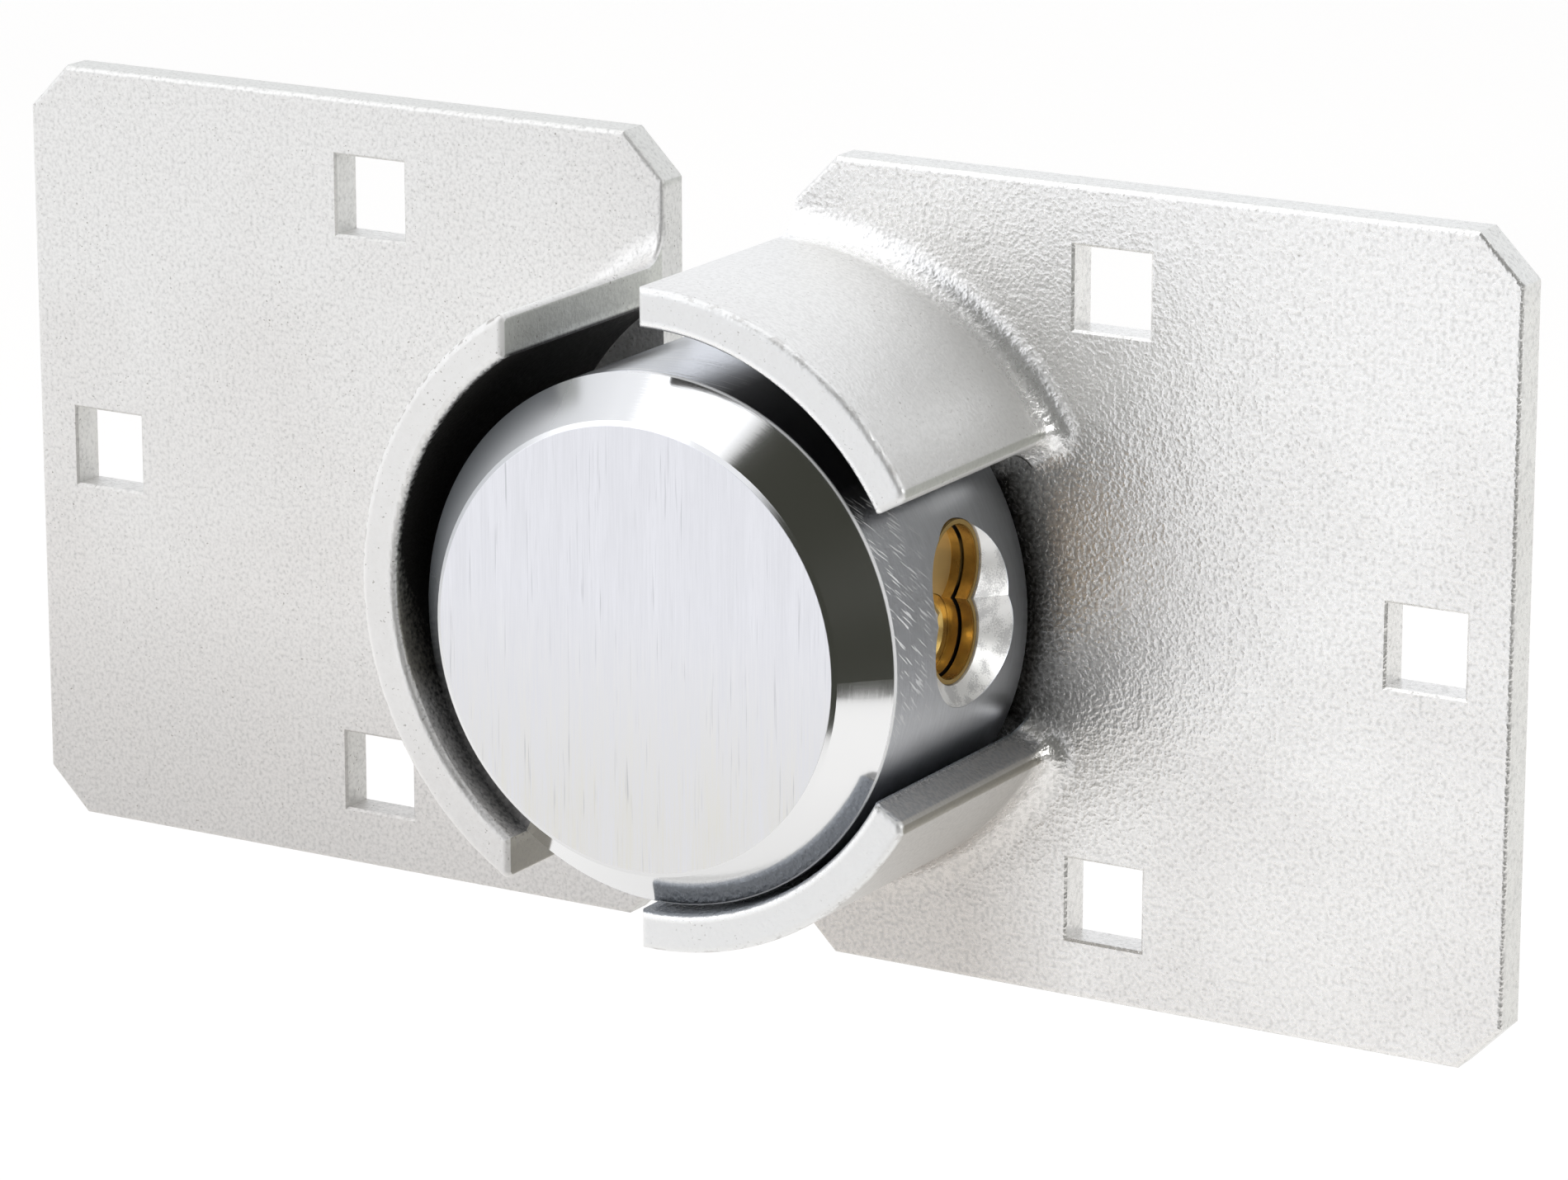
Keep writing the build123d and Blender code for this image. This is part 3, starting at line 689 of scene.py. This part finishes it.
class BodySteel(Surface):
    """The turned body: each of its zones has its own metal."""

    def __init__(self, settings):
        super().__init__("lock_body")
        self.settings = settings
        self.height = self.z - BODY_AXIS_Z
        self.radius = distance(self.x, self.height)
        around = {0: self.height, 1: self.x}
        self.turn = self.number("ShaderNodeMath", {"operation": "ARCTAN2"}, around)
        # Bright steel for the scratches, and for the painted highlight along the chamfer's back edge.
        self.worn = self.metal(colour(settings.worn), 0.5, metallic=0.0)

    def brushed_face(self):
        """Upright brushed lines, warmer low down, with a few deep strokes."""
        settings = self.settings
        strokes = self.streaks(self.x / settings.brush, 0.0, self.z / (9 * MM), 3.0, 0.65)
        broad = self.streaks(self.x / (2.2 * MM), 0.0, self.z / (40 * MM), rough=0.5)
        deep = self.streaks(self.x / (0.40 * MM), 4.0, self.z / (14 * MM))
        low = self.ramp(self.height, 6 * MM, -24 * MM)
        clean = self.blend(low, colour(settings.steel), colour(settings.warm))
        tone = self.ramp(strokes * 0.6 + broad * 0.4, 0.35, 0.65)
        brushed = self.blend(tone, colour(settings.steel, 0.92), clean)
        scored = self.ramp(deep, 0.60, 0.70) * self.ramp(broad, 0.42, 0.60) * 0.6
        brushed = self.blend(scored, brushed, colour(settings.scored))
        return self.metal(brushed, self.spread(strokes, 0.42, 0.32), self.bump(strokes, 0.010 * MM))

    def polished_chamfer(self):
        """Finely turned and polished, with painted shade low down and, at the upper left, painted shade and a
        dark reflection of the left guard.
        """
        settings = self.settings
        spacing = 0.28 * MM
        rings = self.streaks(self.radius / spacing, self.turn * 9.0, self.y / spacing)
        # Painted shade: the chamfer's colour is darker low down.
        low = self.ramp(self.height, -14 * MM, -34 * MM)
        bright = self.blend(low, colour(settings.bright), colour(settings.bright, 0.88))
        # Painted shade and dark reflection at the upper left, in the left guard's shadow.
        hidden = self.x.below(-10 * MM, 16 * MM) * self.height.above(0.0, 24 * MM)
        polished = self.metal(bright, hidden * 0.22 + 0.12, self.bump(rings, 0.004 * MM))
        shade_layer = self.metal(colour(settings.chamfer_shade), 0.5, metallic=0.2)
        return self.layer(hidden * 0.4, polished, shade_layer)

    def guard_shade_mask(self):
        """Mask of painted shade on the wall's front part behind the right upper guard and the left guard."""
        right = self.x.above(9 * MM, 4 * MM) * (self.height - self.x * 0.66).above(3 * MM, 6 * MM)
        left = self.x.below(-7 * MM, 4 * MM) * self.height.above(0.0, 8 * MM)
        return (right + left) * self.y.below(-26 * MM, 12 * MM)

    def scratches(self):
        """Mask of thin slanting scratches near the chamfer."""
        along = (self.y * 0.66 + self.height * 0.75) / (0.30 * MM)
        aside = (self.height * 0.66 - self.y * 0.75) / (4 * MM)
        scratch = self.streaks(along, aside, 0.0, 1.0, 0.5)
        near_front = self.ramp(self.y, -28 * MM, -40 * MM)
        return self.ramp(scratch, 0.61, 0.64) * near_front * self.ramp(self.height, -12 * MM, 2 * MM)

    def satin_wall(self):
        """Satin steel with faint turning lines, painted shade under the guards, and scratched beside them."""
        settings = self.settings
        drawn = self.streaks(self.y / (0.5 * MM), self.turn * 8.0, 0.0)
        tone = self.blend(self.spread(drawn), colour(settings.wall, 0.9), colour(settings.wall))
        guard_shade = self.guard_shade_mask()
        # Painted shade where the guards shadow the wall.
        tone = self.blend(guard_shade * 0.9, tone, colour(settings.guard_shade))
        rough = self.spread(self.noise(0.35 * MM), 0.30, 0.38)
        satin = self.metal(tone, rough, self.bump(drawn, 0.006 * MM))
        return self.layer(self.scratches() * (1 - guard_shade), satin, self.worn)

    def milled_mouth(self):
        """The cloudy milled countersink of the key opening."""
        settings = self.settings
        cloud = self.noise(3.2 * MM, 1.0) + (self.noise(0.2 * MM) - 0.5) * 0.5
        tone = self.ramp(cloud, 0.38, 0.52)
        milled = self.blend(tone, colour(settings.milled), colour(settings.milled_bright))
        rough = self.ramp(cloud, 0.35, 0.65, 0.42, 0.30)
        return self.metal(milled, rough, self.bump(self.noise(0.3 * MM), 0.012 * MM), metallic=0.35)

    def dress(self):
        """Lays each zone's metal where that zone is."""
        x, y, radius = self.x, self.y, self.radius
        on_face = y.below(BODY_FRONT_Y + 0.03 * MM, 0.02 * MM)
        on_wall = radius.above(BODY_RADIUS - 0.05 * MM, 0.02 * MM)
        bored = radius.below(BODY_RADIUS - 0.05 * MM, 0.02 * MM)
        inside = bored * y.above(CHAMFER_BACK_Y + 0.8 * MM, 0.1 * MM)
        countersunk = inside * x.above(22 * MM, 0.5 * MM) * y.below(BODY_BACK_Y - 0.5 * MM, 0.2 * MM)
        # Painted highlight: a bright line along the chamfer's back edge, on the right half only.
        edge = y.below(CHAMFER_BACK_Y + 0.25 * MM, 0.1 * MM)
        edge = edge * radius.above(BODY_RADIUS - 0.2 * MM, 0.1 * MM) * x.above(-2 * MM, 8 * MM)
        dressed = self.layer(on_wall + inside, self.polished_chamfer(), self.satin_wall())
        dressed = self.layer(edge, dressed, self.worn)
        dressed = self.layer(countersunk, dressed, self.milled_mouth())
        self.finish(self.layer(on_face, dressed, self.brushed_face()), "lock_body")


class LOCK_OT_finish_body(Operator):
    """Brushes the body's front, polishes its chamfer and leaves its wall satin"""

    bl_idname = "lock.finish_body"
    bl_label = "Finish body"

    def execute(self, context):
        BodySteel(context.scene.lock_body).dress()
        return {"FINISHED"}


class Brass(Surface):
    """Turned brass with faint clouds of tarnish."""

    def __init__(self, name, settings):
        super().__init__(name)
        self.settings = settings
        self.cloud = self.noise(2.5 * MM, 3.0)
        clean = self.ramp(self.cloud, 0.40, 0.62)
        self.tint = self.blend(clean, colour(settings.tarnish), colour(settings.brass))
        self.dull = 0.0

    def tarnish_front_and_paint_reflection(self):
        """Dulls the shell's front faces and rim, darkens its seam, and paints a dark reflection on the brass
        between the lobes.
        """
        settings = self.settings
        flat = self.axes(self.facing)[0].above(0.9, 0.1) * self.x.below(STEP_X, 0.1 * MM)
        tint = self.blend(flat, self.tint, colour(settings.dull))
        seam = self.x.above(SEAM_BACK_X, 0.06 * MM) * self.x.below(SEAM_FRONT_X, 0.06 * MM)
        tint = self.blend(seam, tint, colour(settings.seam))
        # Painted reflection: a dark brown band on the walls between the lobes.
        dark_reflection_zone = self.x.above(PLUG_FACE_X, 0.1 * MM) * self.z.below(9 * MM, MM) * self.z.above(3 * MM, MM)
        tint = self.blend(dark_reflection_zone * 0.65, tint, colour(settings.dark_reflection_brown))
        rim = self.x.above(RIM_X, 0.2 * MM)
        self.tint = self.blend(rim, tint, colour(settings.tarnish, 0.7))
        self.dull = flat + rim

    def dress(self, *nodes):
        """Adds the fine turning and gives the brass to the named nodes."""
        rings = self.streaks(self.x / (0.25 * MM), self.y / (6 * MM), self.z / (6 * MM))
        rough = self.spread(self.cloud, 0.28, 0.18) + self.dull * 0.2
        relief = self.bump(rings, 0.006 * MM)
        self.finish(self.metal(self.tint, rough, relief, metallic=0.8 - self.dull * 0.3), *nodes)


class LOCK_OT_finish_cylinder(Operator):
    """Gives the cylinder and its pins their brass"""

    bl_idname = "lock.finish_cylinder"
    bl_label = "Finish cylinder"

    def execute(self, context):
        settings = context.scene.lock_cylinder
        shell = Brass("shell_brass", settings)
        shell.tarnish_front_and_paint_reflection()
        shell.dress("cylinder_shell")
        pins = [f"{kind}_{number}" for kind in ("key_pin", "driver_pin") for number in PIN_STACKS]
        Brass("plain_brass", settings).dress("cylinder_plug", "chamber_cover", *pins)
        return {"FINISHED"}


class LOCK_OT_finish_steel(Operator):
    """Grinds the shackle and its carrier, and blackens the screws"""

    bl_idname = "lock.finish_steel"
    bl_label = "Finish steel parts"

    def execute(self, context):
        settings = context.scene.lock_steel
        ground = Surface("ground_steel")
        lines = ground.streaks(ground.x / (0.22 * MM), ground.y / (5 * MM), ground.z / (5 * MM))
        tone = ground.blend(ground.spread(lines), colour(settings.ground, 0.8), colour(settings.ground))
        shader = ground.metal(tone, ground.spread(lines, 0.36, 0.26), ground.bump(lines, 0.008 * MM))
        ground.finish(shader, "shackle_pin", "shackle_carrier", "locking_dog", "plug_cam")
        black = Surface("black_oxide")
        grain = black.noise(0.4 * MM, 3.0)
        worn = black.ramp(grain, 0.4, 0.7)
        tone = black.blend(worn, colour(settings.oxide), colour(settings.oxide, 1.8))
        relief = black.bump(grain, 0.015 * MM)
        shader = black.metal(tone, black.spread(grain, 0.52, 0.38), relief, metallic=0.8)
        black.finish(shader, "carrier_screws", "cam_screw", "stop_screw")
        return {"FINISHED"}


def spring_piece(name, node, wire, turns, steps, material):
    """A round-wire coil that fills the CAD spring's box."""
    low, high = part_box(node)
    centre_x = (low[0] + high[0]) / 2
    coil = (high[0] - low[0]) / 2 - wire
    first, last = low[2] + wire, high[2] - wire
    curve = bpy.data.curves.new(name, "CURVE")
    curve.dimensions = "3D"
    curve.bevel_depth = wire
    curve.bevel_resolution = 2
    curve.use_fill_caps = True
    spline = curve.splines.new("POLY")
    count = round(turns * steps)
    spline.points.add(count)
    for index, spot in enumerate(spline.points):
        angle = 2 * math.pi * index / steps
        height = first + (last - first) * index / count
        spot.co = (centre_x + coil * math.cos(angle), SHACKLE_Y + coil * math.sin(angle), height, 1.0)
    coil_curve = bpy.data.objects.new(name + "_curve", curve)
    mesh = bpy.data.meshes.new_from_object(coil_curve)
    bpy.data.objects.remove(coil_curve)
    mesh.shade_smooth()
    mesh.materials.append(material)
    piece = bpy.data.objects.new(name, mesh)
    bpy.context.scene.collection.objects.link(piece)
    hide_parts(node)
    return piece


class LOCK_OT_wind_springs(Operator):
    """Winds the five pin springs and the dog spring from round wire"""

    bl_idname = "lock.wind_springs"
    bl_label = "Wind springs"

    def execute(self, context):
        settings = context.scene.lock_steel
        steps = settings.coil_steps
        drawn = Surface("drawn_wire")
        grain = drawn.noise(0.15 * MM)
        tone = drawn.blend(grain, colour(settings.drawn), colour(settings.drawn_bright))
        drawn.finish(drawn.metal(tone, drawn.spread(grain, 0.34, 0.22)))
        for number in PIN_STACKS:
            name, node = f"pin_spring_coil_{number}", f"pin_spring_{number}"
            piece = spring_piece(name, node, settings.wire, PIN_SPRING_TURNS, steps, drawn.material)
            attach(piece, "carriage")
        coil = spring_piece(
            "dog_spring_coil", "dog_spring", settings.dog_wire, DOG_SPRING_TURNS, steps, drawn.material
        )
        low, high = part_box("dog_spring")
        travel = next(joint["range_m"][1] for joint in frame["joints"] if joint["name"] == "dog_draw")
        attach(coil, "carriage")
        1 - travel / (high[2] - low[2])
        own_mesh(coil)
        return {"FINISHED"}


def lay_floor(settings):
    """A pale floor below the lock, with a faint light of its own."""
    floor_z = CAD_BOX[0][2] - settings.floor_drop
    mesh = bpy.data.meshes.new("floor")
    mesh.from_pydata([(x, y, floor_z) for x, y in FLOOR_CORNERS], [], [(0, 1, 2, 3)])
    floor = bpy.data.objects.new("floor", mesh)
    bpy.context.scene.collection.objects.link(floor)
    pale = Surface("pale_floor")
    tone = pale.blend(pale.noise(0.4), colour(settings.floor), colour(settings.floor_light))
    inputs = {
        "Base Color": tone,
        "Roughness": 0.9,
        "Emission Color": colour(settings.floor_glow),
        "Emission Strength": 0.60,
    }
    pale.finish(pale.node("ShaderNodeBsdfPrincipled", {}, inputs).outputs[0])
    mesh.materials.append(pale.material)


def area_light(name, place, side, power):
    """A square soft light at place that shines at the lock."""
    light = bpy.data.lights.new(name, "AREA")
    light.shape = "SQUARE"
    light.size = side
    light.energy = power
    lamp = bpy.data.objects.new(name, light)
    lamp.location = place
    towards = Vector((0.0, SHACKLE_Y, 0.0)) - Vector(place)
    lamp.rotation_euler = towards.to_track_quat("-Z", "Y").to_euler()
    bpy.context.scene.collection.objects.link(lamp)


def surround(settings):
    """A light room with a dark side, right of straight ahead and above a slanting edge."""
    world = bpy.data.worlds.new("studio")
    world.use_nodes = True
    room = Graph(world.node_tree)
    to_x, to_y, to_z = room.axes(room.coordinates.outputs["Generated"])
    dark = to_x.above(0.08, 0.14) * (to_z - to_x * 0.19).above(-0.55, 0.04) * to_y.below(0.1, 0.1)
    shade = room.blend(dark, colour(settings.light_room), colour(settings.dark_room))
    path = room.node("ShaderNodeLightPath", {}, {})
    seen = room.blend(path.outputs["Is Camera Ray"], shade, (1.0, 1.0, 1.0, 1.0))
    background = room.node("ShaderNodeBackground", {}, {"Color": seen, "Strength": 1.1})
    room.node("ShaderNodeOutputWorld", {}, {"Surface": background.outputs[0]})
    bpy.context.scene.world = world


def set_camera(settings):
    """A long lens, to the right of the lock and above it."""
    camera = bpy.data.cameras.new("camera")
    camera.sensor_width = SENSOR_WIDTH
    camera.sensor_fit = "HORIZONTAL"
    camera.lens = settings.lens
    camera.clip_start = 0.01
    camera.clip_end = 20.0
    eye = bpy.data.objects.new("camera", camera)
    level = math.cos(settings.elevation)
    away = Vector((
        math.sin(settings.azimuth) * level,
        -math.cos(settings.azimuth) * level,
        math.sin(settings.elevation),
    ))
    eye.location = Vector(settings.aim) + away * settings.distance
    eye.rotation_euler = (-away).to_track_quat("-Z", "Y").to_euler()
    bpy.context.scene.collection.objects.link(eye)
    bpy.context.scene.camera = eye


class LOCK_OT_set_stage(Operator):
    """Makes the pale floor, the soft lights, the surroundings and the camera"""

    bl_idname = "lock.set_stage"
    bl_label = "Set stage"

    def execute(self, context):
        settings = context.scene.lock_studio
        lay_floor(settings)
        area_light("key_light", (-0.75, -0.8, 0.75), side=1.0, power=2.4)
        area_light("top_light", (-0.1, 0.1, 1.2), side=1.4, power=3.2)
        area_light("side_light", (0.95, -0.14, 0.3), side=0.4, power=2.2)
        surround(settings)
        set_camera(settings)
        context.scene.view_settings.view_transform = "Standard"
        return {"FINISHED"}


class LOCK_PT_panel(Panel):
    """Lists the finishing steps"""

    bl_idname = "LOCK_PT_panel"
    bl_label = "Truck Door Lock"
    bl_space_type = "VIEW_3D"
    bl_region_type = "UI"
    bl_category = "Lock"

    def draw(self, context):
        for step in STEPS:
            self.layout.operator(step.bl_idname)


GROUPS = {
    "lock_hasps": HaspSettings,
    "lock_body": BodySettings,
    "lock_cylinder": CylinderSettings,
    "lock_steel": SteelSettings,
    "lock_studio": StudioSettings,
}
STEPS = (
    LOCK_OT_finish_hasps,
    LOCK_OT_finish_body,
    LOCK_OT_finish_cylinder,
    LOCK_OT_finish_steel,
    LOCK_OT_wind_springs,
    LOCK_OT_set_stage,
)


def register():
    for part in (*GROUPS.values(), *STEPS, LOCK_PT_panel):
        bpy.utils.register_class(part)
    for name, group in GROUPS.items():
        setattr(bpy.types.Scene, name, PointerProperty(type=group))


def unregister():
    for name in GROUPS:
        delattr(bpy.types.Scene, name)
    for part in reversed((*GROUPS.values(), *STEPS, LOCK_PT_panel)):
        bpy.utils.unregister_class(part)


def main():
    """Runs every step in order."""
    register()
    bpy.ops.lock.finish_hasps()
    bpy.ops.lock.finish_body()
    bpy.ops.lock.finish_cylinder()
    bpy.ops.lock.finish_steel()
    bpy.ops.lock.wind_springs()
    bpy.ops.lock.set_stage()


if __name__ == "__main__":
    main()
